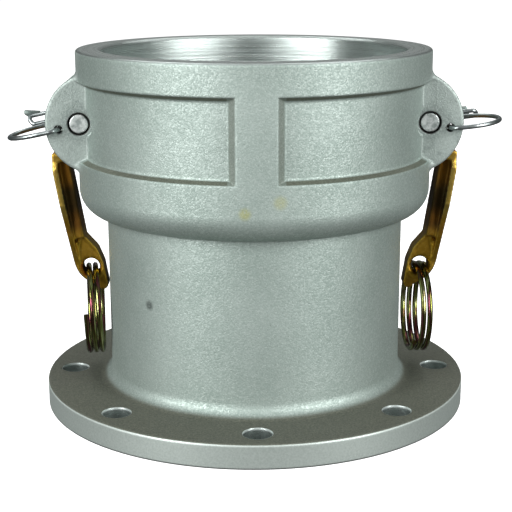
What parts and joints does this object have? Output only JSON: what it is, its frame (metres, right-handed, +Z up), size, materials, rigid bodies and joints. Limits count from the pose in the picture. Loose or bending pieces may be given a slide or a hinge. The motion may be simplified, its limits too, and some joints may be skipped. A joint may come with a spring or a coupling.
{
  "type": "cam and groove coupler",
  "caption": "Cast coupler socket with a gasket, two cam arms on pins, pull rings, safety clips and a bolted tank flange.",
  "frame": {"origin": "centre of the flange's bottom face, which is the centre of the bolt circle", "axes": "+Z up along the bore and out of the mouth, X through the two lugs, pins along Y, front of the picture at -Y"},
  "size_m": [0.1936, 0.1702, 0.1412],
  "materials": {
    "casting": "fine sand-cast grain, machined at the rim, bore and flange edge",
    "gasket": "matt black, smooth",
    "arms": "cast brass, golden, brighter on the edges",
    "pins": "bright steel with turned ends",
    "rings": "steel wire with yellow zinc, iridescent",
    "clips": "bright zinc-plated wire"
  },
  "bodies": {
    "coupler": {"coupler_body": "casting", "gasket": "gasket", "hinge_pin_left": "pins", "hinge_pin_right": "pins"},
    "arm_left": {"cam_arm_left": "arms"},
    "arm_right": {"cam_arm_right": "arms"},
    "ring_left": {"pull_ring_left": "rings"},
    "ring_right": {"pull_ring_right": "rings"},
    "clip_left": {"safety_clip_left": "clips"},
    "clip_right": {"safety_clip_right": "clips"}
  },
  "joints": [
    {"name": "arm_swing_left", "type": "hinge", "parent": "coupler", "child": "arm_left", "pos_m": [-0.0675, 0, 0.1136], "axis": [0, 1, 0], "range_deg": [0, 100]},
    {"name": "arm_swing_right", "type": "hinge", "parent": "coupler", "child": "arm_right", "pos_m": [0.0675, 0, 0.1136], "axis": [0, -1, 0], "range_deg": [0, 100]},
    {"name": "ring_swing_left", "type": "hinge", "parent": "arm_left", "child": "ring_left", "pos_m": [-0.06627, 0, 0.05368], "axis": [0, 1, 0], "range_deg": [-3, 120]},
    {"name": "ring_swing_right", "type": "hinge", "parent": "arm_right", "child": "ring_right", "pos_m": [0.06707, 0, 0.05367], "axis": [0, -1, 0], "range_deg": [-3, 120]},
    {"name": "clip_pull_left", "type": "slide", "parent": "coupler", "child": "clip_left", "axis": [0, -1, 0], "range_m": [0, 0.11]},
    {"name": "clip_pull_right", "type": "slide", "parent": "coupler", "child": "clip_right", "axis": [0, -1, 0], "range_m": [0, 0.11]}
  ],
  "couplings": [
    {"joint": "clip_pull_left", "follows": "arm_swing_left", "m_per_rad": 0.063},
    {"joint": "clip_pull_right", "follows": "arm_swing_right", "m_per_rad": 0.063}
  ]
}
